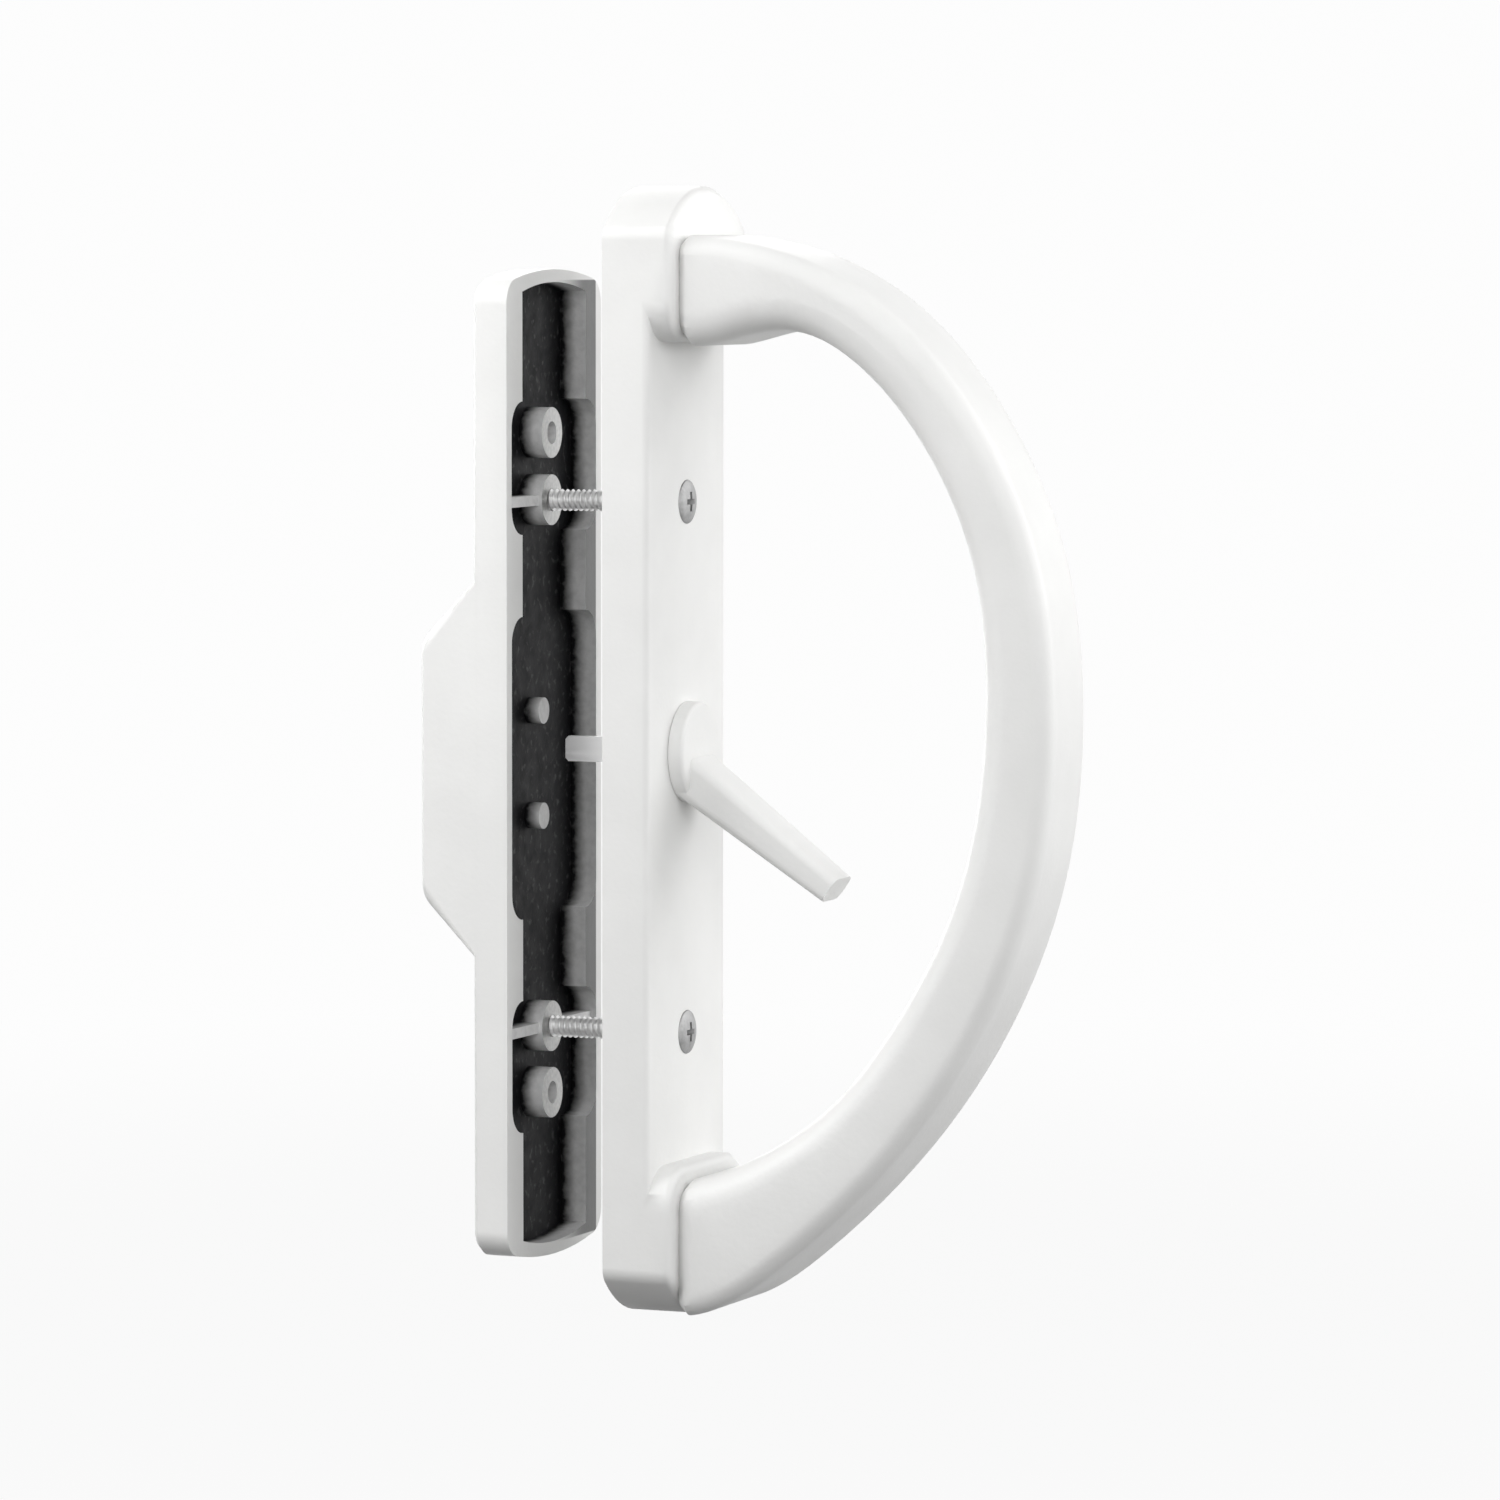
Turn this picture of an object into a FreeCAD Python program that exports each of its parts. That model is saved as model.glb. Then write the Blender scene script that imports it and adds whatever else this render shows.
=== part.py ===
import FreeCAD, Part
import math
import os

from FreeCAD import Vector

# A sliding patio door's handle set: an inside D pull on a base plate with a thumb lever,
# and an outside finger pull, held together through the door by two long screws.
# X runs through the door towards the room, Y across the door, Z up.
# The origin is on the inside mounting face, midway between the two long screws.

# Door and hole pattern
DOOR_THICKNESS = 18.0
HOLE_SPACING = 100.0
OUTER_HOLE_SPACING = 125.4
SCREW_DIAMETER = 4.2
SCREW_HOLE_DIAMETER = 4.9
TAPPED_CLEARANCE = 0.04

# Inside base plate
BASE_LENGTH = 212.0
BASE_WIDTH = 38.0
BASE_DEPTH = 9.2
BASE_CENTRE_Z = 3.0
BASE_ARCH_RISE = 8.5
BASE_WALL = 2.6
BASE_EDGE_RADIUS = 1.4
BASE_CORNER_RADIUS = 4.0
PAD_RISE = 4.6
PAD_LENGTH = 29.0
PAD_CORNER_RADIUS = 8.0
PAD_EDGE_CHAMFER = 1.4
BASE_BOSS_DIAMETER = 11.0
BASE_RIB_THICKNESS = 1.8
BASE_RIB_SETBACK = 2.4

# D pull
PULL_TOP_SETBACK = 9.0
PULL_BOTTOM_SETBACK = 1.0
PULL_FOOT_HEIGHT = 20.5
PULL_LOWER_FOOT_HEIGHT = 25.5
PULL_REACH = 85.5
PULL_APEX_Z = 12.0
PULL_APEX_THICKNESS = 14.3
PULL_APEX_WIDTH = 21.0
PULL_FOOT_WIDTH = 33.0
PULL_TAPER = 1.6
PULL_INNER_RADIUS = 5.6
PULL_OUTER_RADIUS = 3.6
PULL_FOOT_CHAMFER = 1.6

# Screws that hold the D pull from behind
PULL_SCREW_DIAMETER = 4.0
PULL_SCREW_HEAD_DIAMETER = 7.0
PULL_SCREW_HEAD_HEIGHT = 2.2
PULL_SCREW_DEPTH = 9.0
PULL_SCREW_SPREAD = 16.0
PULL_SCREW_TIP_GAP = 1.0

# Long mounting screws
SCREW_HEAD_DIAMETER = 8.4
SCREW_CONE_DEPTH = 2.1
SCREW_SEAT_CLEARANCE = 0.03
SCREW_TIP_GAP = 0.3

# Thumb lever
HUB_DIAMETER = 19.0
HUB_HEIGHT = 3.0
HUB_EDGE_CHAMFER = 0.8
HUB_FACE_GAP = 0.1
STEM_DIAMETER = 10.0
STEM_CLEARANCE = 0.05
STEM_COLLAR_DIAMETER = 17.0
STEM_COLLAR_LENGTH = 3.0
STEM_END_SETBACK = 0.4
LEVER_REACH = 30.2
LEVER_ROOT_OUT = 1.0
LEVER_DROP = 25.0
LEVER_ROOT_DROP = 4.0
LEVER_ROOT_WIDTH = 12.0
LEVER_TIP_WIDTH = 9.0
LEVER_ROOT_THICKNESS = 8.0
LEVER_TIP_THICKNESS = 5.4
LEVER_CORNER_RADIUS = 1.8

# Tailpiece, its cross pin and what keeps the lever in the base
TAIL_HEIGHT = 4.8
TAIL_THICKNESS = 1.6
TAIL_PROTRUSION = 15.4
TAIL_SLOT_DEPTH = 8.0
TAIL_CLEARANCE = 0.03
TAIL_END_GAP = 0.2
TAIL_TIP_CHAMFER = 0.6
PIN_DIAMETER = 1.6
PIN_SETBACK = 4.6
PIN_END_SETBACK = 0.4
PIN_CLEARANCE = 0.03
WASHER_DIAMETER = 16.0
WASHER_THICKNESS = 0.9
WASHER_CLEARANCE = 0.12
RING_DIAMETER = 14.5
RING_THICKNESS = 0.8
RING_GROOVE_DEPTH = 0.9
RING_GROOVE_CLEARANCE = 0.05
RING_FACE_GAP = 0.1
RING_MOUTH = 6.4

# Outside pull
OUTSIDE_LENGTH = 187.0
OUTSIDE_WIDTH = 44.5
OUTSIDE_DEPTH = 7.2
OUTSIDE_ARCH_RISE = 2.6
OUTSIDE_CORNER_RADIUS = 5.0
OUTSIDE_EDGE_CHAMFER = 1.2
OUTSIDE_WALL = 2.4
OUTSIDE_FLOOR = 2.0
SIDE_PAD_THICKNESS = 7.4
BOSS_DIAMETER = 9.6
BOSS_SETBACK = 0.5
BOSS_BOTTOM = 1.0
BOSS_RELIEF_LENGTH = 25.0
EAR_RELIEF_LENGTH = 57.0
POST_DIAMETER = 5.0
POST_SPACING = 20.0
POST_SETBACK = 2.2
OUTSIDE_RIB_THICKNESS = 2.0
OUTSIDE_RIB_SETBACK = 1.2
EAR_ROOT_LENGTH = 71.0
EAR_TOP_LENGTH = 48.0
EAR_HEIGHT = 11.0
EAR_ROOT_THICKNESS = 6.0
EAR_TIP_THICKNESS = 3.4
EAR_CORNER_RADIUS = 6.0
EAR_EDGE_CHAMFER = 0.9
EAR_INSET = 0.8

# How far cutting shapes run past a face, and how closely an edge must match a plane
OVERRUN = 1.0
MATCH = 0.01

# Flats that follow each rounded corner of a lofted section
CORNER_CHORDS = 4

# Places that follow from the sizes above
BASE_TOP_Z = BASE_CENTRE_Z + BASE_LENGTH / 2
BASE_BOTTOM_Z = BASE_CENTRE_Z - BASE_LENGTH / 2
PULL_TOP_Z = BASE_TOP_Z - PULL_TOP_SETBACK
PULL_BOTTOM_Z = BASE_BOTTOM_Z + PULL_BOTTOM_SETBACK
PAD_FACE = BASE_DEPTH + PAD_RISE
FLOOR_BACK = BASE_DEPTH - BASE_WALL
HUB_Z = BASE_CENTRE_Z
RIM_X = -DOOR_THICKNESS
FRONT_X = RIM_X - OUTSIDE_DEPTH
OUTSIDE_FLOOR_X = FRONT_X + OUTSIDE_FLOOR
BOSS_TOP_X = RIM_X - BOSS_SETBACK
TAPPED_END_X = FRONT_X + BOSS_BOTTOM
COLLAR_BACK = FLOOR_BACK - STEM_COLLAR_LENGTH
SCREW_LEVELS = {"upper": HOLE_SPACING / 2, "lower": -HOLE_SPACING / 2}
FOOT_LEVELS = {
    "upper": PULL_TOP_Z - PULL_FOOT_HEIGHT / 2,
    "lower": PULL_BOTTOM_Z + PULL_LOWER_FOOT_HEIGHT / 2,
}
SIDES = {"near": -1, "far": 1}


def cylinder(radius, x_from, x_to, y=0.0, z=0.0):
    """A round bar along X."""
    return Part.makeCylinder(radius, x_to - x_from, Vector(x_from, y, z), Vector(1, 0, 0))


def cone(radius_from, radius_to, x_from, x_to, y=0.0, z=0.0):
    """A tapered bar along X."""
    return Part.makeCone(radius_from, radius_to, x_to - x_from, Vector(x_from, y, z), Vector(1, 0, 0))


def block(x_range, y_range, z_range):
    """A box between two corners."""
    corner = Vector(x_range[0], y_range[0], z_range[0])
    return Part.makeBox(x_range[1] - x_range[0], y_range[1] - y_range[0], z_range[1] - z_range[0], corner)


def line(start, end):
    return Part.LineSegment(start, end).toShape()


def arc(start, middle, end):
    return Part.Arc(start, middle, end).toShape()


def arched_plate(half_width, z_low, z_high, rise, x_from, x_to):
    """A plate across X whose two ends are shallow arches."""
    low_left = Vector(x_from, -half_width, z_low + rise)
    low_right = Vector(x_from, half_width, z_low + rise)
    high_left = Vector(x_from, -half_width, z_high - rise)
    high_right = Vector(x_from, half_width, z_high - rise)
    edges = [
        line(low_left, high_left),
        arc(high_left, Vector(x_from, 0, z_high), high_right),
        line(high_right, low_right),
        arc(low_right, Vector(x_from, 0, z_low), low_left),
    ]
    return Part.Face(Part.Wire(edges)).extrude(Vector(x_to - x_from, 0, 0))


def edges_along_x(shape, x_from, x_to):
    """The straight edges that run the whole way between two X planes."""
    found = []
    for edge in shape.Edges:
        ends = sorted(vertex.X for vertex in edge.Vertexes)
        if len(ends) == 2 and abs(ends[0] - x_from) < MATCH and abs(ends[1] - x_to) < MATCH:
            found.append(edge)
    return found


def edges_at_x(shape, x):
    """The edges that lie in one X plane."""
    return [edge for edge in shape.Edges if edge.BoundBox.XMin > x - MATCH and edge.BoundBox.XMax < x + MATCH]


def section(centre, across, thickness, width, inner_radius, outer_radius):
    """A rounded rectangle whose thickness runs along a direction in the XZ plane and its width along Y."""
    # Going round: the sign of the thickness side, the sign of the width side, the radius, the first angle
    corners = [
        (1, 1, outer_radius, 0),
        (-1, 1, inner_radius, 90),
        (-1, -1, inner_radius, 180),
        (1, -1, outer_radius, 270),
    ]
    points = []
    for t_sign, w_sign, radius, first_angle in corners:
        t_centre = t_sign * (thickness / 2 - radius)
        w_centre = w_sign * (width / 2 - radius)
        for step in range(CORNER_CHORDS + 1):
            angle = math.radians(first_angle + 90 * step / CORNER_CHORDS)
            t = t_centre + radius * math.cos(angle)
            w = w_centre + radius * math.sin(angle)
            points.append(centre + across * t + Vector(0, w, 0))
    return points


def closed_wire(points):
    return Part.makePolygon(points + points[:1])


def flat_sided_solid(first, last):
    """A solid with one flat face between each pair of neighbouring points of two like sections."""
    faces = [Part.Face(closed_wire(first)), Part.Face(closed_wire(last))]
    for index in range(len(first)):
        before = index - 1
        faces.append(Part.Face(closed_wire([first[before], first[index], last[index], last[before]])))
    return Part.makeSolid(Part.makeShell(faces))


def pull_stations():
    """Sections along the D from the upper foot to the lower: centre, direction, thickness and width."""
    upper = FOOT_LEVELS["upper"]
    lower = FOOT_LEVELS["lower"]
    reach = PULL_REACH - PULL_APEX_THICKNESS / 2 - PAD_FACE
    rise = upper - PULL_APEX_Z
    fall = PULL_APEX_Z - lower
    upper_foot = PULL_FOOT_HEIGHT / PULL_APEX_THICKNESS
    lower_foot = PULL_LOWER_FOOT_HEIGHT / PULL_APEX_THICKNESS
    # Share of the reach, share of the rise or fall, angle of the outward side, thickness over the apex's
    upper_arm = [
        (0.0, 1.0, 90, upper_foot),
        (0.10, 1.0, 90, upper_foot * 0.95),
        (0.30, 0.995, 82, 1.0),
        (0.503, 0.922, 62, 0.87),
        (0.754, 0.71, 40, 0.87),
        (0.956, 0.35, 17, 0.93),
        (1.0, 0.0, 0, 1.0),
    ]
    lower_arm = [
        (0.926, 0.341, -22, 1.07),
        (0.745, 0.594, -43, 1.14),
        (0.476, 0.814, -56, 1.19),
        (0.25, 0.93, -71, 1.45),
        (0.10, 0.985, -84, lower_foot * 0.96),
        (0.0, 1.0, -90, lower_foot),
    ]
    width_drop = PULL_FOOT_WIDTH - PULL_APEX_WIDTH
    stations = []
    for arm, extent in ((upper_arm, rise), (lower_arm, -fall)):
        for along, away, angle, thickness in arm:
            width = PULL_APEX_WIDTH + width_drop * (1 - along) ** PULL_TAPER
            centre = Vector(PAD_FACE + reach * along, 0, PULL_APEX_Z + extent * away)
            stations.append((centre, angle, PULL_APEX_THICKNESS * thickness, width))
    return stations


def pull_screw_places():
    """The four screws behind the D pull's feet, by name."""
    places = {}
    for level, z in FOOT_LEVELS.items():
        for side, sign in SIDES.items():
            places[f"{level}_{side}"] = (sign * PULL_SCREW_SPREAD / 2, z)
    return places


def inside_pull():
    wires = []
    for centre, angle, thickness, width in pull_stations():
        turn = math.radians(angle)
        across = Vector(math.cos(turn), 0, math.sin(turn))
        points = section(centre, across, thickness, width, PULL_INNER_RADIUS, PULL_OUTER_RADIUS)
        wires.append(closed_wire(points))
    pull = Part.makeLoft(wires, True, False)
    pull = pull.makeChamfer(PULL_FOOT_CHAMFER, edges_at_x(pull, PAD_FACE))
    for y, z in pull_screw_places().values():
        hole_end = PAD_FACE + PULL_SCREW_DEPTH + PULL_SCREW_TIP_GAP
        pull = pull.cut(cylinder(PULL_SCREW_DIAMETER / 2 + TAPPED_CLEARANCE, PAD_FACE - OVERRUN, hole_end, y, z))
    return pull


def end_pad(direction):
    """The raised pad under one foot of the D pull; direction is 1 at the top and -1 at the bottom."""
    half = BASE_WIDTH / 2
    end = BASE_CENTRE_Z + direction * BASE_LENGTH / 2
    inner = end - direction * PAD_LENGTH
    low, high = sorted((inner, end + direction * OVERRUN))
    pad = arched_plate(half, BASE_BOTTOM_Z, BASE_TOP_Z, BASE_ARCH_RISE, 0, PAD_FACE)
    pad = pad.common(block((-OVERRUN, PAD_FACE + OVERRUN), (-half - OVERRUN, half + OVERRUN), (low, high)))
    inner_edges = [edge for edge in edges_along_x(pad, 0, PAD_FACE) if abs(edge.BoundBox.ZMin - inner) < MATCH]
    return pad.makeFillet(PAD_CORNER_RADIUS, inner_edges)


def base_blank():
    """The base plate with its two raised pads and all its outer roundings, still solid."""
    plate = arched_plate(BASE_WIDTH / 2, BASE_BOTTOM_Z, BASE_TOP_Z, BASE_ARCH_RISE, 0, BASE_DEPTH)
    for direction in (1, -1):
        plate = plate.fuse(end_pad(direction))
    plate = plate.removeSplitter()
    plate = plate.makeFillet(BASE_CORNER_RADIUS, edges_along_x(plate, 0, PAD_FACE))
    plate = plate.makeChamfer(PAD_EDGE_CHAMFER, edges_at_x(plate, PAD_FACE))
    sides = [edge for edge in edges_at_x(plate, BASE_DEPTH) if edge.BoundBox.YLength < MATCH]
    return plate.makeFillet(BASE_EDGE_RADIUS, sides)


def inside_base():
    plate = base_blank()
    hollow = arched_plate(
        BASE_WIDTH / 2 - BASE_WALL,
        BASE_BOTTOM_Z + BASE_WALL,
        BASE_TOP_Z - BASE_WALL,
        BASE_ARCH_RISE - BASE_WALL / 2,
        -OVERRUN,
        FLOOR_BACK,
    )
    plate = plate.cut(hollow)
    inner_half = BASE_WIDTH / 2 - BASE_WALL / 2
    for z in SCREW_LEVELS.values():
        rib = block(
            (BASE_RIB_SETBACK, FLOOR_BACK + BASE_WALL / 2),
            (-inner_half, inner_half),
            (z - BASE_RIB_THICKNESS / 2, z + BASE_RIB_THICKNESS / 2),
        )
        plate = plate.fuse(rib).fuse(cylinder(BASE_BOSS_DIAMETER / 2, 0, FLOOR_BACK + BASE_WALL / 2, 0, z))
    plate = plate.fuse(cylinder(STEM_COLLAR_DIAMETER / 2, COLLAR_BACK, FLOOR_BACK + BASE_WALL / 2, 0, HUB_Z))
    for z in SCREW_LEVELS.values():
        plate = plate.cut(cylinder(SCREW_HOLE_DIAMETER / 2, -OVERRUN, BASE_DEPTH + OVERRUN, 0, z))
        plate = plate.cut(countersink(z, SCREW_SEAT_CLEARANCE))
    stem_bore = STEM_DIAMETER / 2 + STEM_CLEARANCE
    plate = plate.cut(cylinder(stem_bore, COLLAR_BACK - OVERRUN, BASE_DEPTH + OVERRUN, 0, HUB_Z))
    for y, z in pull_screw_places().values():
        hole = cylinder(SCREW_HOLE_DIAMETER / 2, FLOOR_BACK - OVERRUN, PAD_FACE + OVERRUN, y, z)
        plate = plate.cut(hole)
    return plate.removeSplitter()


def countersink(z, clearance):
    """The cone that a long screw's head lies in, wider than the head by a clearance."""
    return cone(
        SCREW_DIAMETER / 2 + clearance,
        SCREW_HEAD_DIAMETER / 2 + clearance,
        BASE_DEPTH - SCREW_CONE_DEPTH,
        BASE_DEPTH,
        0,
        z,
    )


def mounting_screw(z):
    """A long countersunk screw from the base's face into the outside pull's boss."""
    seat = BASE_DEPTH - SCREW_CONE_DEPTH
    shank = cylinder(SCREW_DIAMETER / 2, TAPPED_END_X + SCREW_TIP_GAP, seat, 0, z)
    head = cone(SCREW_DIAMETER / 2, SCREW_HEAD_DIAMETER / 2, seat, BASE_DEPTH, 0, z)
    return shank.fuse(head).removeSplitter()


def pull_screw(y, z):
    """A pan head screw from inside the base into a foot of the D pull."""
    shank = cylinder(PULL_SCREW_DIAMETER / 2, FLOOR_BACK, PAD_FACE + PULL_SCREW_DEPTH, y, z)
    head_end = FLOOR_BACK - PULL_SCREW_HEAD_HEIGHT
    head = cylinder(PULL_SCREW_HEAD_DIAMETER / 2, head_end, FLOOR_BACK, y, z)
    return shank.fuse(head)


def lever_arm():
    """The finger of the thumb lever, lofted from its hub outwards and down."""
    face = BASE_DEPTH + HUB_FACE_GAP
    root = Vector(face + LEVER_ROOT_OUT, 0, HUB_Z - LEVER_ROOT_DROP)
    tip = Vector(face + LEVER_REACH, 0, HUB_Z - LEVER_DROP)
    along = (tip - root).normalize()
    across = Vector(-along.z, 0, along.x)
    radius = LEVER_CORNER_RADIUS
    arm = flat_sided_solid(
        section(root, across, LEVER_ROOT_THICKNESS, LEVER_ROOT_WIDTH, radius, radius),
        section(tip, across, LEVER_TIP_THICKNESS, LEVER_TIP_WIDTH, radius, radius),
    )
    behind = block(
        (face - LEVER_REACH, face),
        (-LEVER_ROOT_WIDTH, LEVER_ROOT_WIDTH),
        (HUB_Z - LEVER_REACH, HUB_Z + LEVER_REACH),
    )
    return arm.cut(behind)


def thumb_lever():
    face = BASE_DEPTH + HUB_FACE_GAP
    stem_end = STEM_END_SETBACK
    hub = cylinder(HUB_DIAMETER / 2, face, face + HUB_HEIGHT, 0, HUB_Z)
    hub = hub.makeChamfer(HUB_EDGE_CHAMFER, edges_at_x(hub, face + HUB_HEIGHT))
    stem = cylinder(STEM_DIAMETER / 2, stem_end, face + HUB_HEIGHT / 2, 0, HUB_Z)
    lever = hub.fuse(stem).fuse(lever_arm())
    groove_from = ring_plane() - RING_GROOVE_CLEARANCE
    groove_to = ring_plane() + RING_THICKNESS + RING_GROOVE_CLEARANCE
    groove = cylinder(STEM_DIAMETER, groove_from, groove_to, 0, HUB_Z)
    groove = groove.cut(cylinder(STEM_DIAMETER / 2 - RING_GROOVE_DEPTH, groove_from, groove_to, 0, HUB_Z))
    slot = block(
        (stem_end - OVERRUN, stem_end + TAIL_SLOT_DEPTH),
        (-TAIL_THICKNESS / 2 - TAIL_CLEARANCE, TAIL_THICKNESS / 2 + TAIL_CLEARANCE),
        (HUB_Z - TAIL_HEIGHT / 2 - TAIL_CLEARANCE, HUB_Z + TAIL_HEIGHT / 2 + TAIL_CLEARANCE),
    )
    return lever.cut(groove).cut(slot).cut(pin_hole()).removeSplitter()


def washer_plane():
    """The X of the spring washer's back face; its front face bears on the base's collar."""
    return COLLAR_BACK - WASHER_THICKNESS


def ring_plane():
    """The X of the retaining ring's back face, behind the spring washer."""
    return washer_plane() - RING_FACE_GAP - RING_THICKNESS


def bar_across(radius, half_length):
    """A round bar along Y where the pin crosses the stem."""
    start = Vector(STEM_END_SETBACK + PIN_SETBACK, -half_length, HUB_Z)
    return Part.makeCylinder(radius, 2 * half_length, start, Vector(0, 1, 0))


def cross_pin():
    """The pin across the stem that holds the tailpiece."""
    return bar_across(PIN_DIAMETER / 2, STEM_DIAMETER / 2 - PIN_END_SETBACK)


def pin_hole():
    """The pin's hole, right through the stem and the tailpiece."""
    return bar_across(PIN_DIAMETER / 2 + PIN_CLEARANCE, STEM_DIAMETER / 2 + OVERRUN)


def tailpiece():
    """The flat bar that turns the lock."""
    end = STEM_END_SETBACK + TAIL_SLOT_DEPTH - TAIL_END_GAP
    half_t = TAIL_THICKNESS / 2
    half_h = TAIL_HEIGHT / 2
    bar = block((-TAIL_PROTRUSION, end), (-half_t, half_t), (HUB_Z - half_h, HUB_Z + half_h))
    tip_edges = [edge for edge in edges_at_x(bar, -TAIL_PROTRUSION) if edge.BoundBox.ZLength < MATCH]
    bar = bar.makeChamfer(TAIL_TIP_CHAMFER, tip_edges)
    return bar.cut(pin_hole())


def spring_washer():
    """The wave washer between the collar and the retaining ring, as pressed flat."""
    outer = cylinder(WASHER_DIAMETER / 2, washer_plane(), COLLAR_BACK, 0, HUB_Z)
    bore = STEM_DIAMETER / 2 + WASHER_CLEARANCE
    return outer.cut(cylinder(bore, washer_plane() - OVERRUN, COLLAR_BACK + OVERRUN, 0, HUB_Z))


def retaining_ring():
    """The snap ring in the stem's groove, open at one side."""
    back = ring_plane()
    ring = cylinder(RING_DIAMETER / 2, back, back + RING_THICKNESS, 0, HUB_Z)
    bore = STEM_DIAMETER / 2 - RING_GROOVE_DEPTH + RING_GROOVE_CLEARANCE
    ring = ring.cut(cylinder(bore, back - OVERRUN, back + RING_THICKNESS + OVERRUN, 0, HUB_Z))
    mouth = block(
        (back - OVERRUN, back + RING_THICKNESS + OVERRUN),
        (-RING_MOUTH / 2, RING_MOUTH / 2),
        (HUB_Z - RING_DIAMETER, HUB_Z),
    )
    return ring.cut(mouth)


def outside_hollow():
    """The open back of the outside pull: wide at the bosses and the ear, with thick pads between."""
    half_pad = OUTSIDE_WIDTH / 2 - SIDE_PAD_THICKNESS
    half_wide = OUTSIDE_WIDTH / 2 - OUTSIDE_WALL
    half_length = OUTSIDE_LENGTH / 2 - OUTSIDE_WALL
    rise = OUTSIDE_ARCH_RISE * half_pad / (OUTSIDE_WIDTH / 2)
    mouth = RIM_X + OVERRUN
    hollow = arched_plate(half_pad, -half_length, half_length, rise, OUTSIDE_FLOOR_X, mouth)
    boss_level = (HOLE_SPACING + OUTER_HOLE_SPACING) / 4
    reliefs = [(0.0, EAR_RELIEF_LENGTH), (boss_level, BOSS_RELIEF_LENGTH), (-boss_level, BOSS_RELIEF_LENGTH)]
    for z, length in reliefs:
        relief = block((OUTSIDE_FLOOR_X, mouth), (-half_wide, half_wide), (z - length / 2, z + length / 2))
        corner_edges = edges_along_x(relief, OUTSIDE_FLOOR_X, mouth)
        hollow = hollow.fuse(relief.makeFillet(half_wide - half_pad, corner_edges))
    return hollow


def ear():
    """The finger grip on the outside: a trapezoid fin that thins towards its tip."""
    root_x = FRONT_X + OUTSIDE_FLOOR / 2
    tip_x = FRONT_X - EAR_HEIGHT
    near = -OUTSIDE_WIDTH / 2 + EAR_INSET
    profile = Part.makePolygon([
        Vector(root_x, near, 0),
        Vector(tip_x, near, 0),
        Vector(tip_x, near + EAR_TIP_THICKNESS, 0),
        Vector(FRONT_X, near + EAR_ROOT_THICKNESS, 0),
        Vector(root_x, near + EAR_ROOT_THICKNESS, 0),
        Vector(root_x, near, 0),
    ])
    bar = Part.Face(profile).extrude(Vector(0, 0, EAR_ROOT_LENGTH))
    bar.translate(Vector(0, 0, -EAR_ROOT_LENGTH / 2))
    half_root = EAR_ROOT_LENGTH / 2
    half_top = EAR_TOP_LENGTH / 2
    outline = Part.makePolygon([
        Vector(root_x, near - OVERRUN, -half_root),
        Vector(root_x, near - OVERRUN, half_root),
        Vector(FRONT_X, near - OVERRUN, half_root),
        Vector(tip_x, near - OVERRUN, half_top),
        Vector(tip_x, near - OVERRUN, -half_top),
        Vector(FRONT_X, near - OVERRUN, -half_root),
        Vector(root_x, near - OVERRUN, -half_root),
    ])
    trapezoid = Part.Face(outline).extrude(Vector(0, EAR_ROOT_THICKNESS + 2 * OVERRUN, 0))
    fin = bar.common(trapezoid)
    tip_corners = [edge for edge in edges_at_x(fin, tip_x) if edge.BoundBox.ZLength < MATCH]
    fin = fin.makeFillet(EAR_CORNER_RADIUS, tip_corners)
    return fin.makeChamfer(EAR_EDGE_CHAMFER, edges_at_x(fin, tip_x))


def outside_pull():
    half_length = OUTSIDE_LENGTH / 2
    body = arched_plate(OUTSIDE_WIDTH / 2, -half_length, half_length, OUTSIDE_ARCH_RISE, FRONT_X, RIM_X)
    body = body.makeFillet(OUTSIDE_CORNER_RADIUS, edges_along_x(body, FRONT_X, RIM_X))
    body = body.makeChamfer(OUTSIDE_EDGE_CHAMFER, edges_at_x(body, FRONT_X))
    body = body.cut(outside_hollow())
    body = body.fuse(ear())
    boss_levels = [sign * spacing / 2 for spacing in (HOLE_SPACING, OUTER_HOLE_SPACING) for sign in (1, -1)]
    root_x = OUTSIDE_FLOOR_X - OUTSIDE_FLOOR / 2
    half_inner = OUTSIDE_WIDTH / 2 - OUTSIDE_WALL / 2
    for z in SCREW_LEVELS.values():
        rib = block(
            (root_x, RIM_X - OUTSIDE_RIB_SETBACK),
            (-half_inner, half_inner),
            (z - OUTSIDE_RIB_THICKNESS / 2, z + OUTSIDE_RIB_THICKNESS / 2),
        )
        body = body.fuse(rib)
    for z in boss_levels:
        body = body.fuse(cylinder(BOSS_DIAMETER / 2, root_x, BOSS_TOP_X, 0, z))
    for z in boss_levels:
        tapped = cylinder(SCREW_DIAMETER / 2 + TAPPED_CLEARANCE, TAPPED_END_X, RIM_X + OVERRUN, 0, z)
        body = body.cut(tapped)
    for sign in (1, -1):
        post = cylinder(POST_DIAMETER / 2, root_x, RIM_X - POST_SETBACK, 0, sign * POST_SPACING / 2)
        body = body.fuse(post)
    return body.removeSplitter()


def build():
    nodes = {
        "inside_base": inside_base(),
        "inside_pull": inside_pull(),
        "thumb_lever": thumb_lever(),
        "tailpiece": tailpiece(),
        "tailpiece_pin": cross_pin(),
        "spring_washer": spring_washer(),
        "retaining_ring": retaining_ring(),
        "outside_pull": outside_pull(),
    }
    for level, z in SCREW_LEVELS.items():
        nodes[f"mounting_screw_{level}"] = mounting_screw(z)
    for name, (y, z) in pull_screw_places().items():
        nodes[f"pull_screw_{name}"] = pull_screw(y, z)
    return nodes


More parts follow.
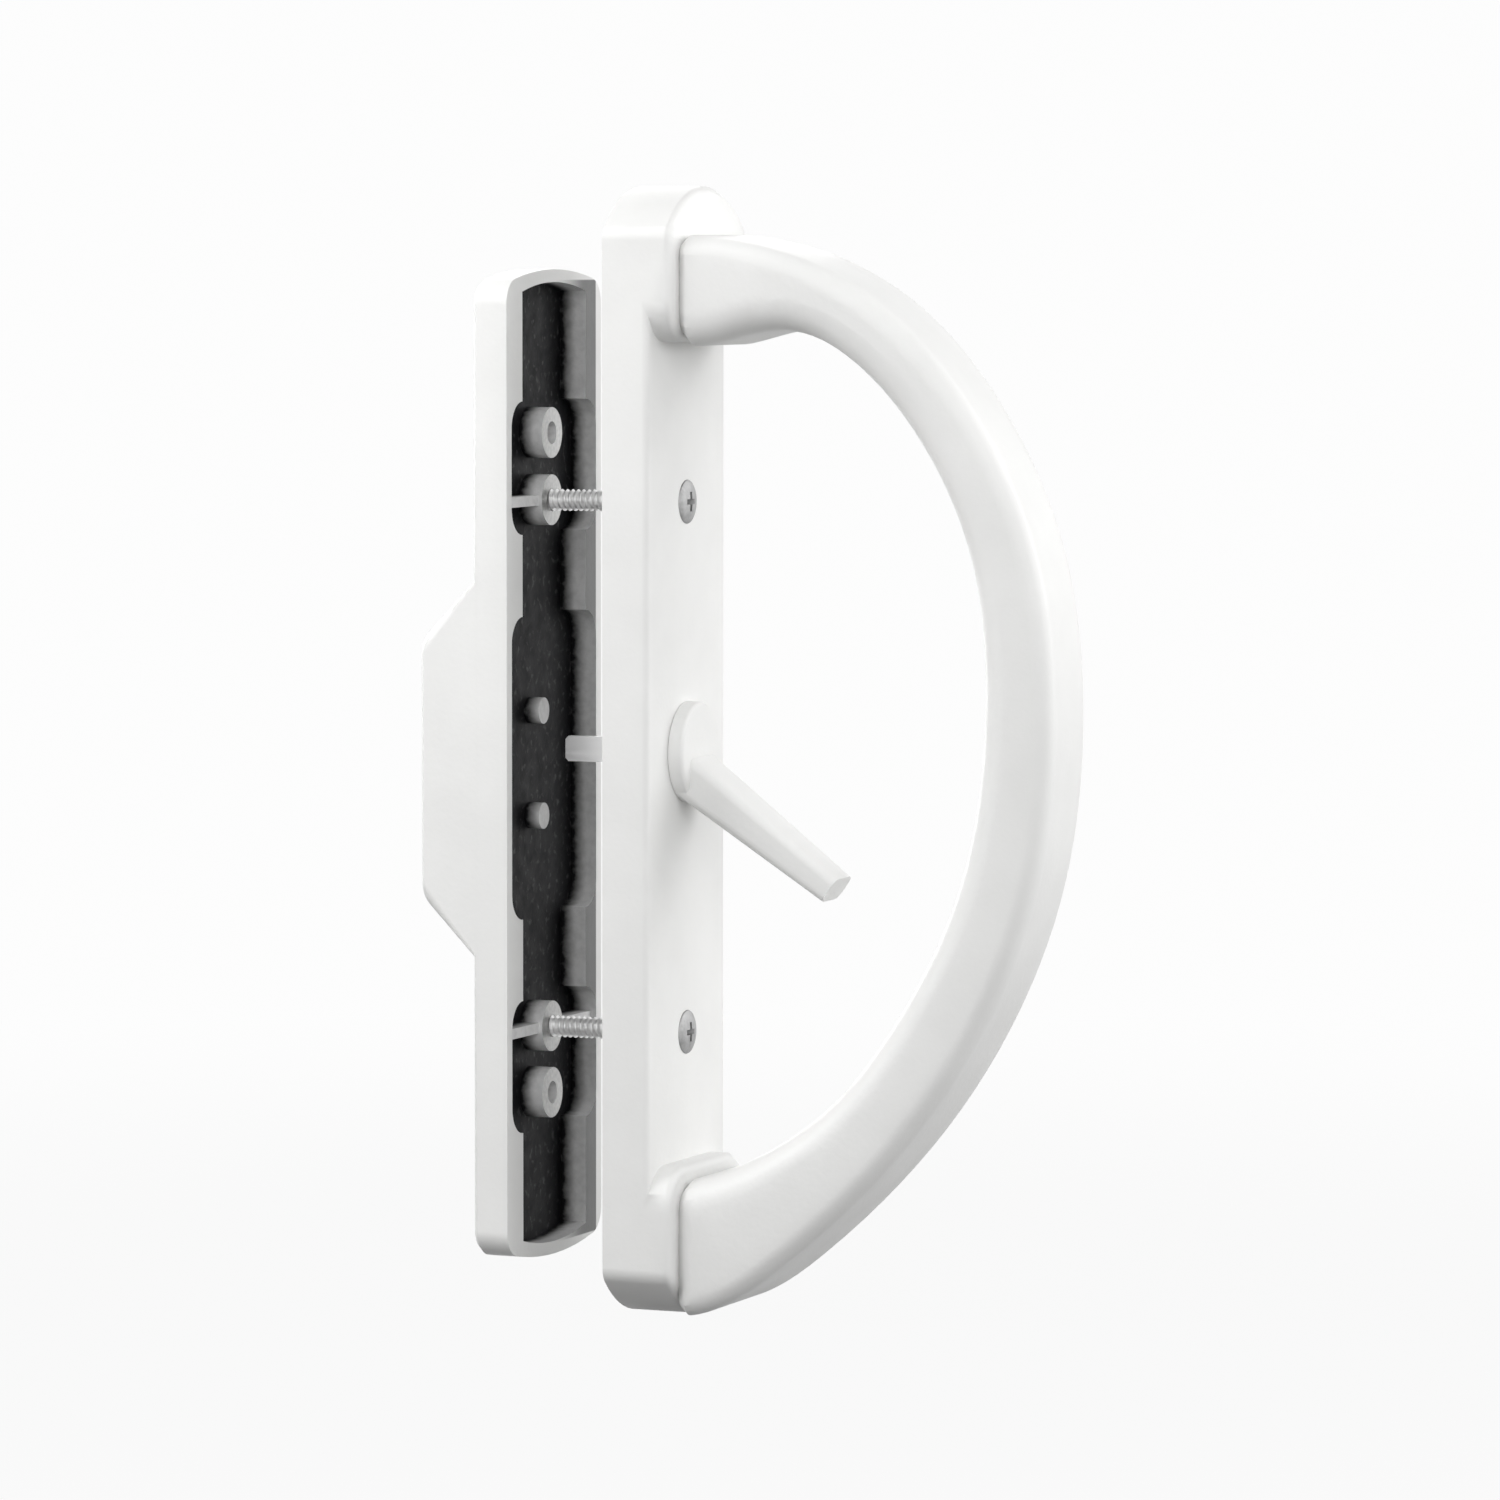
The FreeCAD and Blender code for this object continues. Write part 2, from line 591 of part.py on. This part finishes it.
def main():
    os.makedirs("parts", exist_ok=True)
    for name, shape in build().items():
        solids = len(shape.Solids)
        print(f"{name}: {solids} solid, valid {shape.isValid()}, {shape.Volume:.1f} mm3")
        shape.exportStep(f"parts/{name}.step")


main()
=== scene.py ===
import math

import bmesh
import bpy
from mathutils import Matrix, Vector

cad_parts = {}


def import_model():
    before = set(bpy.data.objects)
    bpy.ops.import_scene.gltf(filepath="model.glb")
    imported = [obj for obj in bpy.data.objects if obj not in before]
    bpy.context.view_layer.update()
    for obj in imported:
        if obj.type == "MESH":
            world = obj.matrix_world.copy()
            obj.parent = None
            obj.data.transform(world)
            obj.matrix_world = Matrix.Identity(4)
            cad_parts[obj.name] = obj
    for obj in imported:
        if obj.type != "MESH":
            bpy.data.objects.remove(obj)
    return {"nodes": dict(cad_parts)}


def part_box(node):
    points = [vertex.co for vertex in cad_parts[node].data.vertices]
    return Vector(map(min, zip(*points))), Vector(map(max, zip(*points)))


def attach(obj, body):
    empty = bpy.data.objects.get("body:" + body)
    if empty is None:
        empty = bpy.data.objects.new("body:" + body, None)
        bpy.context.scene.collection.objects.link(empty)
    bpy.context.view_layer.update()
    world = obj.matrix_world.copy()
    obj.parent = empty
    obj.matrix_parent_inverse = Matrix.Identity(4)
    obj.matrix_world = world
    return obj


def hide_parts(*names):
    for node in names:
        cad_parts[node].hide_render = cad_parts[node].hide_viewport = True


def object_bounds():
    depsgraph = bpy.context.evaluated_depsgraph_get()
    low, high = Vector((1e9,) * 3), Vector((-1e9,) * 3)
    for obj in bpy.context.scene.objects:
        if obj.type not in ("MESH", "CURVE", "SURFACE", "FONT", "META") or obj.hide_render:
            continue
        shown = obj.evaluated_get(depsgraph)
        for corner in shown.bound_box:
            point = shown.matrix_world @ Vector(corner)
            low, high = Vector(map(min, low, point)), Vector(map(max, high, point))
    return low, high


# The frame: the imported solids, and the box they fill
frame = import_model()
CAD_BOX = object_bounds()
NODES = frame["nodes"]
ROOT = "handle_set"

# Solids by name: the castings that are white all over, the one with the black hollow, and the pan head screws
WHITE_CASTINGS = ("inside_base", "inside_pull", "thumb_lever")
OUTSIDE_CASTING = "outside_pull"
PAN_HEAD_PREFIX = "pull_screw_"

# Camera, in metres, millimetres of sensor and degrees
CAMERA_AZIMUTH = 23.0
CAMERA_ELEVATION = 4.0
CAMERA_DISTANCE = 1.4
CAMERA_LENS = 178.1
CAMERA_SENSOR = 36.0
CAMERA_SHIFT = (0.072, 0.0107)
CAMERA_REACH = 20.0

# Outside pull's hollow, in metres, as the solids have it
FLOOR_X = -0.0232
RIM_X = -0.018
BOSS_TOP_X = -0.0185
HOLLOW_HALF_WIDTH = 0.0199
HOLLOW_HALF_WIDTH_AT_ENDS = 0.0149
HOLLOW_WIDE_UP_TO_Z = 0.070
HOLLOW_HALF_LENGTH = 0.0916
PLANE_TOLERANCE = 0.00005
BARE_RIM = 0.0016
# Width of the soft edge of the painted shade on the far ledge of the rim
PAINTED_SHADE_EDGE = 0.0003

# Material slots of the outside pull
COAT_SLOT = 0
PAINT_SLOT = 1
BARE_SLOT = 2

# Long mounting screws, in metres and degrees
SCREW_LEVELS = {"upper": 0.050, "lower": -0.050}
SCREW_TIP_X = -0.0239
SCREW_TIP_LENGTH = 0.0006
SCREW_TIP_SHARE = 0.7
SCREW_SEAT_X = 0.0071
SCREW_NECK_RADIUS = 0.00205
SCREW_FACE_X = 0.0092
SCREW_DOME = 0.0009
SCREW_DOME_STEPS = 7
SCREW_HEAD_RADIUS = 0.00415
SCREW_SEGMENTS = 40
SCREW_SMOOTH_UP_TO = 30.0

# Crossed recesses: length, width and depth in metres, and the share of its length a slot keeps at its foot
LONG_SCREW_RECESS = (0.0044, 0.0010, 0.0016)
PAN_HEAD_RECESS = (0.0042, 0.0010, 0.0012)
RECESS_TAPER = 0.62
RECESS_OVERRUN = 0.001

# Thread on the long screws, in metres; half the ridge's foot is a share of the pitch
THREAD_CORE_RADIUS = 0.00168
THREAD_CREST_RADIUS = 0.00208
THREAD_PITCH = 0.0011
THREAD_HALF_FOOT = 0.42
THREAD_SINK = 0.00002
THREAD_FROM_X = -0.0232
THREAD_TO_X = 0.0040
THREAD_STEPS_PER_TURN = 20

# Shading of the castings, in metres and degrees
WELD_DISTANCE = 0.000002
SMOOTH_UP_TO = 50.0

# The stretch of a noise's values that carries its pattern
NOISE_LOW = 0.3
NOISE_HIGH = 0.7

# Floor, in metres: plain white beyond the fade, with a share of real light and shadow inside it
FLOOR_Z = CAD_BOX[0][2]
FLOOR_RADIUS = 5.0
FLOOR_SEGMENTS = 64
FADE_FROM = 0.12
FADE_TO = 0.55
FLOOR_LIT_SHARE = 0.04
FLOOR_GREY = 0.12
FLOOR_ROUGHNESS = 0.9
BACKGROUND_WHITE = 0.98

# Studio lamps: place and size in metres, power in watts
WORLD_LIGHT = 0.14
LAMPS = {
    "front": ((0.60, -1.44, 0.33), 1.6, 12.5),
    "right": ((1.41, -0.75, 0.30), 1.8, 15.0),
    "right_back": ((1.36, 0.79, 0.30), 1.8, 27.0),
    "left_back": ((-1.05, 1.10, 0.30), 1.6, 18.0),
    "near_left": ((-0.35, -0.25, 0.20), 0.3, 1.3),
    "top_left": ((-0.20, -0.34, 0.50), 0.4, 1.15),
}


def grey(tone):
    """A neutral colour, opaque."""
    return (tone, tone, tone, 1.0)


def principled(name):
    """A new material with an output and a Principled shader."""
    material = bpy.data.materials.new(name)
    material.use_nodes = True
    tree = material.node_tree
    tree.nodes.clear()
    output = tree.nodes.new("ShaderNodeOutputMaterial")
    shader = tree.nodes.new("ShaderNodeBsdfPrincipled")
    tree.links.new(shader.outputs["BSDF"], output.inputs["Surface"])
    return material, tree, shader


def own_coordinates(tree):
    """The surface's place in its own object; for the solids and the screws that is the CAD's frame."""
    return tree.nodes.new("ShaderNodeTexCoord").outputs["Object"]


def along_axes(tree):
    """The surface's X, Y and Z in the CAD's frame."""
    split = tree.nodes.new("ShaderNodeSeparateXYZ")
    tree.links.new(own_coordinates(tree), split.inputs["Vector"])
    return [split.outputs[axis] for axis in "XYZ"]


def math_node(tree, operation, *values, clamp=False):
    """One or more values put through a Math node."""
    node = tree.nodes.new("ShaderNodeMath")
    node.operation = operation
    node.use_clamp = clamp
    for value, socket in zip(values, node.inputs):
        tree.links.new(value, socket)
    return node.outputs["Value"]


def mapped(tree, value, start, end, low=0.0, high=1.0, smooth=False):
    """Maps start to end onto low to high, straight or in a smooth step."""
    node = tree.nodes.new("ShaderNodeMapRange")
    if smooth:
        node.interpolation_type = "SMOOTHSTEP"
    node.inputs["From Min"].default_value = start
    node.inputs["From Max"].default_value = end
    node.inputs["To Min"].default_value = low
    node.inputs["To Max"].default_value = high
    tree.links.new(value, node.inputs["Value"])
    return node.outputs["Result"]


def noise(tree, scale, detail=2.0, stretch=(1.0, 1.0, 1.0)):
    """Noise over the object's own coordinates; scale is in waves per metre."""
    mapping = tree.nodes.new("ShaderNodeMapping")
    mapping.inputs["Scale"].default_value = stretch
    texture = tree.nodes.new("ShaderNodeTexNoise")
    texture.inputs["Scale"].default_value = scale
    texture.inputs["Detail"].default_value = detail
    tree.links.new(own_coordinates(tree), mapping.inputs["Vector"])
    tree.links.new(mapping.outputs["Vector"], texture.inputs["Vector"])
    return texture.outputs["Fac"]


def spread(tree, value, low=0.0, high=1.0):
    """Spreads a noise over a range."""
    return mapped(tree, value, NOISE_LOW, NOISE_HIGH, low, high)


def mixed_colour(tree, factor, first, second):
    """Mixes two colours; each is a fixed one, or a socket that carries one."""
    node = tree.nodes.new("ShaderNodeMix")
    node.data_type = "RGBA"
    for colour, socket in ((first, node.inputs["A"]), (second, node.inputs["B"])):
        if isinstance(colour, tuple):
            socket.default_value = colour
        else:
            tree.links.new(colour, socket)
    tree.links.new(factor, node.inputs["Factor"])
    return node.outputs["Result"]


def mixed_shader(tree, factor, first, second, output):
    """Sends a mix of two shaders to the output's surface."""
    mix = tree.nodes.new("ShaderNodeMixShader")
    tree.links.new(factor, mix.inputs["Fac"])
    tree.links.new(first, mix.inputs[1])
    tree.links.new(second, mix.inputs[2])
    tree.links.new(mix.outputs["Shader"], output.inputs["Surface"])


def add_bump(tree, shader, height, strength, distance):
    """Raises the surface's normal by a height in metres."""
    node = tree.nodes.new("ShaderNodeBump")
    node.inputs["Strength"].default_value = strength
    node.inputs["Distance"].default_value = distance
    tree.links.new(height, node.inputs["Height"])
    tree.links.new(node.outputs["Normal"], shader.inputs["Normal"])


def far_ledge_painted_shade(tree):
    """Mask of painted shade on the far half of the mounting rim: 1 there, as wide as the hollow's wide
    stretches, and 0 elsewhere. The rim is darkened there to stand for the shade the inside base throws into
    the gap.
    """
    x, y, z = along_axes(tree)
    length = math_node(tree, "ABSOLUTE", z)
    on_rim = mapped(tree, x, RIM_X - 2 * PAINTED_SHADE_EDGE, RIM_X - PAINTED_SHADE_EDGE, smooth=True)
    past_middle = mapped(tree, y, 0.0, HOLLOW_HALF_WIDTH_AT_ENDS, smooth=True)
    inside_edge = mapped(tree, y, HOLLOW_HALF_WIDTH, HOLLOW_HALF_WIDTH - PAINTED_SHADE_EDGE, smooth=True)
    off_ends = mapped(tree, length, HOLLOW_HALF_LENGTH, HOLLOW_HALF_LENGTH - PAINTED_SHADE_EDGE, smooth=True)
    across = math_node(tree, "MULTIPLY", past_middle, inside_edge)
    return math_node(tree, "MULTIPLY", on_rim, math_node(tree, "MULTIPLY", across, off_ends))


def white_coat(name, painted_ledge_shade=False):
    """Semi-gloss white powder coat: slight orange peel and a faint unevenness of tone. If asked, the far
    ledge of the outside pull's rim gets painted shade in dark grey.
    """
    material, tree, shader = principled(name)
    tone = spread(tree, noise(tree, scale=60.0, detail=3.0))
    colour = mixed_colour(tree, tone, (0.80, 0.80, 0.79, 1.0), (0.84, 0.84, 0.83, 1.0))
    if painted_ledge_shade:
        # Painted shade: the far ledge of the rim turns dark grey, standing for the shade the inside base
        # throws on it
        colour = mixed_colour(tree, far_ledge_painted_shade(tree), colour, grey(0.11))
    roughness = spread(tree, noise(tree, scale=140.0), low=0.40, high=0.48)
    tree.links.new(colour, shader.inputs["Base Color"])
    tree.links.new(roughness, shader.inputs["Roughness"])
    shader.inputs["Specular IOR Level"].default_value = 0.45
    add_bump(tree, shader, noise(tree, scale=900.0, detail=1.5), strength=0.12, distance=0.0003)
    return material


def hollow_paint():
    """Black paint sprayed into the hollow, which thins out up its walls and bosses."""
    material, tree, shader = principled("hollow_paint")
    thinning = mapped(tree, along_axes(tree)[0], FLOOR_X, RIM_X - BARE_RIM, smooth=True)
    speckle = spread(tree, noise(tree, scale=700.0, detail=4.0), low=-0.12, high=0.05)
    bare = math_node(tree, "ADD", thinning, speckle, clamp=True)
    colour = mixed_colour(tree, bare, (0.006, 0.006, 0.007, 1.0), grey(0.80))
    roughness = spread(tree, noise(tree, scale=300.0), low=0.42, high=0.60)
    tree.links.new(colour, shader.inputs["Base Color"])
    tree.links.new(roughness, shader.inputs["Roughness"])
    shader.inputs["Specular IOR Level"].default_value = 0.1
    add_bump(tree, shader, noise(tree, scale=1400.0, detail=3.0), strength=0.25, distance=0.0002)
    return material


def plated_steel(name, dark, bright, smooth, rough):
    """Zinc plate with fine drawing lines along X."""
    material, tree, shader = principled(name)
    lines = noise(tree, scale=900.0, stretch=(0.06, 1.0, 1.0))
    colour = mixed_colour(tree, spread(tree, lines), grey(dark), grey(bright))
    tree.links.new(colour, shader.inputs["Base Color"])
    tree.links.new(spread(tree, lines, smooth, rough), shader.inputs["Roughness"])
    shader.inputs["Metallic"].default_value = 0.85
    add_bump(tree, shader, lines, strength=0.08, distance=0.0001)
    return material


def machined_metal():
    """Bare cast metal with a dull grain, where the boss tops were faced."""
    material, tree, shader = principled("machined_metal")
    grain = noise(tree, scale=1200.0, detail=3.0)
    colour = mixed_colour(tree, spread(tree, grain), (0.34, 0.34, 0.34, 1.0), (0.50, 0.50, 0.49, 1.0))
    tree.links.new(colour, shader.inputs["Base Color"])
    tree.links.new(spread(tree, grain, low=0.35, high=0.55), shader.inputs["Roughness"])
    shader.inputs["Metallic"].default_value = 0.9
    add_bump(tree, shader, grain, strength=0.15, distance=0.0001)
    return material


def give(mesh, *materials):
    """Puts materials in a mesh's slots, in place of those it had."""
    mesh.materials.clear()
    for material in materials:
        mesh.materials.append(material)


def in_hollow(centre):
    """True for a place on the hollow's floor, walls, bosses, ribs or posts."""
    half_width = HOLLOW_HALF_WIDTH if abs(centre.z) < HOLLOW_WIDE_UP_TO_Z else HOLLOW_HALF_WIDTH_AT_ENDS
    deep = FLOOR_X - PLANE_TOLERANCE < centre.x < RIM_X - PLANE_TOLERANCE
    return deep and abs(centre.y) < half_width and abs(centre.z) < HOLLOW_HALF_LENGTH


def dress_outside_pull(coat, paint, bare):
    """White outside, black in the hollow, bare metal on the tops of the bosses."""
    mesh = NODES[OUTSIDE_CASTING].data
    give(mesh, coat, paint, bare)
    for face in mesh.polygons:
        face.material_index = COAT_SLOT
        if in_hollow(face.center):
            on_boss_top = abs(face.center.x - BOSS_TOP_X) < PLANE_TOLERANCE
            face.material_index = BARE_SLOT if on_boss_top else PAINT_SLOT


def soften(name):
    """Smooth shading over the small facets and chamfers of a casting, with its broad faces kept flat."""
    node = NODES[name]
    node.data.shade_smooth()
    weld = node.modifiers.new("weld", "WELD")
    weld.merge_threshold = WELD_DISTANCE
    split = node.modifiers.new("split", "EDGE_SPLIT")
    split.split_angle = math.radians(SMOOTH_UP_TO)
    split.use_edge_sharp = False
    normals = node.modifiers.new("normals", "WEIGHTED_NORMAL")
    normals.keep_sharp = False


def thread(bm, z):
    """A helical ridge round a screw's shank."""
    turns = (THREAD_TO_X - THREAD_FROM_X) / THREAD_PITCH
    steps = int(turns * THREAD_STEPS_PER_TURN)
    foot_radius = THREAD_CORE_RADIUS - THREAD_SINK
    rings = []
    for step in range(steps + 1):
        angle = 2 * math.pi * step / THREAD_STEPS_PER_TURN
        x = THREAD_FROM_X + THREAD_PITCH * step / THREAD_STEPS_PER_TURN
        fade = min(1.0, step / THREAD_STEPS_PER_TURN, (steps - step) / THREAD_STEPS_PER_TURN)
        crest_radius = THREAD_CORE_RADIUS + (THREAD_CREST_RADIUS - THREAD_CORE_RADIUS) * fade
        section = ((-THREAD_HALF_FOOT, foot_radius), (0.0, crest_radius), (THREAD_HALF_FOOT, foot_radius))
        ring = []
        for offset, radius in section:
            place = (x + offset * THREAD_PITCH, radius * math.cos(angle), z + radius * math.sin(angle))
            ring.append(bm.verts.new(place))
        rings.append(ring)
    for before, after in zip(rings, rings[1:]):
        bm.faces.new((before[0], before[1], after[1], after[0]))
        bm.faces.new((before[1], before[2], after[2], after[1]))
        bm.faces.new((before[2], before[0], after[0], after[2]))
    bm.faces.new(rings[0][::-1])
    bm.faces.new(rings[-1])


def turned(bm, profile, z):
    """Turns (x, radius) points round the screw's axis and closes both ends."""
    rings = []
    for x, radius in profile:
        ring = []
        for step in range(SCREW_SEGMENTS):
            angle = 2 * math.pi * step / SCREW_SEGMENTS
            ring.append(bm.verts.new((x, radius * math.cos(angle), z + radius * math.sin(angle))))
        rings.append(ring)
    for before, after in zip(rings, rings[1:]):
        for step in range(SCREW_SEGMENTS):
            following = (step + 1) % SCREW_SEGMENTS
            bm.faces.new((before[step], before[following], after[following], after[step]))
    bm.faces.new(rings[0][::-1])
    bm.faces.new(rings[-1])


def screw_profile():
    """Tip, core, countersunk head and low dome, as (x, radius) points."""
    points = [
        (SCREW_TIP_X, THREAD_CORE_RADIUS * SCREW_TIP_SHARE),
        (SCREW_TIP_X + SCREW_TIP_LENGTH, THREAD_CORE_RADIUS),
        (SCREW_SEAT_X, THREAD_CORE_RADIUS),
        (SCREW_SEAT_X, SCREW_NECK_RADIUS),
        (SCREW_FACE_X, SCREW_HEAD_RADIUS),
    ]
    for step in range(1, SCREW_DOME_STEPS):
        angle = math.pi / 2 * step / SCREW_DOME_STEPS
        points.append((SCREW_FACE_X + SCREW_DOME * math.sin(angle), SCREW_HEAD_RADIUS * math.cos(angle)))
    return points


def crossed_slots(face, outward, size):
    """The cutter for a crossed recess; face is the middle of the screw's head, outward is 1 or -1 along X."""
    length, width, depth = size
    bm = bmesh.new()
    for across, up in ((length, width), (width, length)):
        for vert in bmesh.ops.create_cube(bm, size=1.0)["verts"]:
            deep = vert.co.x < 0
            taper = RECESS_TAPER if deep else 1.0
            y = vert.co.y * (across * taper if across > up else across)
            z = vert.co.z * (up * taper if up > across else up)
            x = outward * (-depth if deep else RECESS_OVERRUN)
            vert.co = face + Vector((x, y, z))
    bmesh.ops.recalc_face_normals(bm, faces=bm.faces)
    mesh = bpy.data.meshes.new("recess_cutter")
    bm.to_mesh(mesh)
    bm.free()
    return bpy.data.objects.new("recess_cutter", mesh)


def with_recess(mesh, face, outward, size):
    """A screw with a crossed recess cut into its head, as a bmesh."""
    blank = bpy.data.objects.new("screw_blank", mesh)
    cutter = crossed_slots(face, outward, size)
    for made in (blank, cutter):
        bpy.context.scene.collection.objects.link(made)
    cut = blank.modifiers.new("recess", "BOOLEAN")
    cut.operation = "DIFFERENCE"
    cut.use_self = True
    cut.object = cutter
    graph = bpy.context.evaluated_depsgraph_get()
    bm = bmesh.new()
    bm.from_mesh(bpy.data.meshes.new_from_object(blank.evaluated_get(graph)))
    for made in (blank, cutter):
        bpy.data.objects.remove(made)
    return bm


def finished_screw(bm, name, node, steel, head_steel):
    """Makes the screw's object from its bmesh, in place of its solid."""
    bmesh.ops.recalc_face_normals(bm, faces=bm.faces)
    mesh = bpy.data.meshes.new(name)
    bm.to_mesh(mesh)
    bm.free()
    give(mesh, steel, head_steel)
    for face in mesh.polygons:
        face.material_index = int(face.center.x > SCREW_SEAT_X)
    mesh.shade_smooth()
    mesh.set_sharp_from_angle(angle=math.radians(SCREW_SMOOTH_UP_TO))
    screw = bpy.data.objects.new(name, mesh)
    bpy.context.scene.collection.objects.link(screw)
    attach(screw, ROOT)
    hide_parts(node)


def long_screw(level, z, steel, head_steel):
    """A long mounting screw: oval countersunk head with a crossed recess, and a cut thread on its shank."""
    mesh = bpy.data.meshes.new("screw_blank")
    bm = bmesh.new()
    turned(bm, screw_profile(), z)
    bm.to_mesh(mesh)
    bm.free()
    top = Vector((SCREW_FACE_X + SCREW_DOME, 0.0, z))
    bm = with_recess(mesh, top, 1, LONG_SCREW_RECESS)
    thread(bm, z)
    finished_screw(bm, f"long_screw_{level}", f"mounting_screw_{level}", steel, head_steel)


def pan_head_screw(node, steel):
    """A screw that holds the pull from behind. Of its crossed recess only two arms get cut, as two pits."""
    low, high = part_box(node)
    middle = Vector((low[0], (low[1] + high[1]) / 2, (low[2] + high[2]) / 2))
    bm = with_recess(NODES[node].data.copy(), middle, -1, PAN_HEAD_RECESS)
    finished_screw(bm, f"pan_head_{node}", node, steel, steel)


def seen_ray(tree):
    """1 for what is seen directly, in a reflection or through glass, and 0 for what lights the object."""
    rays = tree.nodes.new("ShaderNodeLightPath").outputs
    direct_or_glossy = math_node(tree, "MAXIMUM", rays["Is Camera Ray"], rays["Is Glossy Ray"])
    return math_node(tree, "MAXIMUM", direct_or_glossy, rays["Is Transmission Ray"])


def floor_white():
    """Pale floor: plain white to the camera and in reflections, with the object's soft shadow near it."""
    material, tree, shader = principled("floor_white")
    shader.inputs["Base Color"].default_value = grey(FLOOR_GREY)
    shader.inputs["Roughness"].default_value = FLOOR_ROUGHNESS
    shader.inputs["Specular IOR Level"].default_value = 0.0
    glow = tree.nodes.new("ShaderNodeEmission")
    glow.inputs["Color"].default_value = grey(BACKGROUND_WHITE)
    distance = tree.nodes.new("ShaderNodeVectorMath")
    distance.operation = "LENGTH"
    tree.links.new(own_coordinates(tree), distance.inputs[0])
    away = distance.outputs["Value"]
    plain = mapped(tree, away, FADE_FROM, FADE_TO, low=1.0 - FLOOR_LIT_SHARE, smooth=True)
    share = math_node(tree, "MULTIPLY", seen_ray(tree), plain)
    output = next(node for node in tree.nodes if node.type == "OUTPUT_MATERIAL")
    mixed_shader(tree, share, shader.outputs["BSDF"], glow.outputs["Emission"], output)
    return material


def floor():
    """A broad disc under the object, which is no part of it."""
    mesh = bpy.data.meshes.new("studio_floor")
    bm = bmesh.new()
    bmesh.ops.create_circle(bm, cap_ends=True, segments=FLOOR_SEGMENTS, radius=FLOOR_RADIUS)
    bm.to_mesh(mesh)
    bm.free()
    give(mesh, floor_white())
    disc = bpy.data.objects.new("studio_floor", mesh)
    disc.location.z = FLOOR_Z
    bpy.context.scene.collection.objects.link(disc)


def world(strength):
    """A soft even light, seen as plain white."""
    sky = bpy.data.worlds.new("studio")
    bpy.context.scene.world = sky
    sky.use_nodes = True
    tree = sky.node_tree
    tree.nodes.clear()
    output = tree.nodes.new("ShaderNodeOutputWorld")
    light = tree.nodes.new("ShaderNodeBackground")
    light.inputs["Strength"].default_value = strength
    seen = tree.nodes.new("ShaderNodeBackground")
    seen.inputs["Color"].default_value = grey(BACKGROUND_WHITE)
    mixed_shader(tree, seen_ray(tree), light.outputs["Background"], seen.outputs["Background"], output)


def soft_box(name, place, size, power):
    """A square area lamp aimed at the object."""
    data = bpy.data.lights.new(name, "AREA")
    data.size = size
    data.energy = power
    lamp = bpy.data.objects.new(name, data)
    lamp.location = place
    lamp.rotation_euler = (-Vector(place)).to_track_quat("-Z", "Y").to_euler()
    bpy.context.scene.collection.objects.link(lamp)


def camera():
    """The photograph's viewing angle, aimed at the origin."""
    turn = math.radians(CAMERA_AZIMUTH)
    tilt = math.radians(CAMERA_ELEVATION)
    away = Vector((math.sin(turn) * math.cos(tilt), -math.cos(turn) * math.cos(tilt), math.sin(tilt)))
    data = bpy.data.cameras.new("camera")
    data.lens = CAMERA_LENS
    data.sensor_width = CAMERA_SENSOR
    data.shift_x, data.shift_y = CAMERA_SHIFT
    data.clip_end = CAMERA_REACH
    eye = bpy.data.objects.new("camera", data)
    eye.location = away * CAMERA_DISTANCE
    eye.rotation_euler = (-away).to_track_quat("-Z", "Y").to_euler()
    bpy.context.scene.collection.objects.link(eye)
    bpy.context.scene.camera = eye


# Materials
coat = white_coat("white_coat")
# This coat carries painted shade, dark grey on the outside pull's far rim ledge
coat_with_painted_ledge_shade = white_coat("white_coat_with_painted_shade", painted_ledge_shade=True)
steel = plated_steel("plated_steel", dark=0.80, bright=0.92, smooth=0.30, rough=0.42)
satin = plated_steel("satin_head", dark=0.26, bright=0.36, smooth=0.50, rough=0.62)
zinc = plated_steel("bright_zinc", dark=0.92, bright=0.98, smooth=0.34, rough=0.46)

# Solids that keep their shape
for name in NODES:
    give(NODES[name].data, coat if name in WHITE_CASTINGS else steel)
give(NODES["tailpiece"].data, zinc)
dress_outside_pull(coat_with_painted_ledge_shade, hollow_paint(), machined_metal())
for name in (*WHITE_CASTINGS, OUTSIDE_CASTING):
    soften(name)

# Screws, in place of their plain solids
for level, z in SCREW_LEVELS.items():
    long_screw(level, z, steel, satin)
for node in sorted(NODES):
    if node.startswith(PAN_HEAD_PREFIX):
        pan_head_screw(node, steel)

# Studio
floor()
world(WORLD_LIGHT)
for name, (place, size, power) in LAMPS.items():
    soft_box(name, place, size, power)
camera()
bpy.context.scene.view_settings.view_transform = "Standard"
